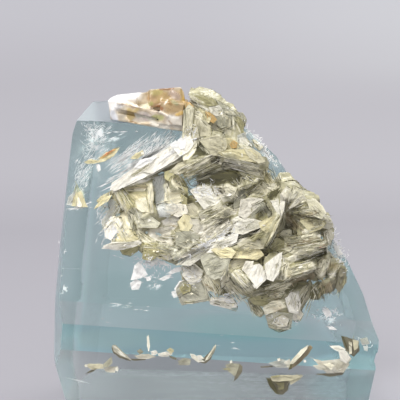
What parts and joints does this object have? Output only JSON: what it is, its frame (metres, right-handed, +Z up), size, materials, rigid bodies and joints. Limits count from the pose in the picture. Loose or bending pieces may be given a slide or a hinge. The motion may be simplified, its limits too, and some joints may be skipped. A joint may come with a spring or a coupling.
{
  "type": "aquamarine crystal specimen",
  "caption": "Blocky pale blue-green see-through aquamarine crystal, with an olive mica cluster and stained feldspar on its front and top edge, and small mica flakes low down.",
  "frame": {"origin": "on the flat base that the crystal rests on, under the middle of its width", "axes": "+X to the right along the prism and the broad front face, +Y from the front face to the back, +Z up from the base"},
  "size_m": [0.0608, 0.0395, 0.0631],
  "materials": {
    "aquamarine": "clear with veils, natural crystal faces",
    "muscovite": "pearly stacked sheets",
    "feldspar": "translucent, iron stained",
    "mica_flake": "pearly thin sheets"
  },
  "bodies": {
    "root": {"aquamarine": "aquamarine", "muscovite_cluster": "muscovite", "stained_feldspar": "feldspar", "mica_flake_far_left": "mica_flake", "mica_flake_left": "mica_flake", "mica_flake_left_middle": "mica_flake", "mica_flake_middle": "mica_flake", "mica_flake_right_middle": "mica_flake", "mica_flake_right_low": "mica_flake", "mica_flake_right": "mica_flake", "mica_flake_far_right": "mica_flake", "mica_flake_corner": "mica_flake"}
  },
  "joints": []
}
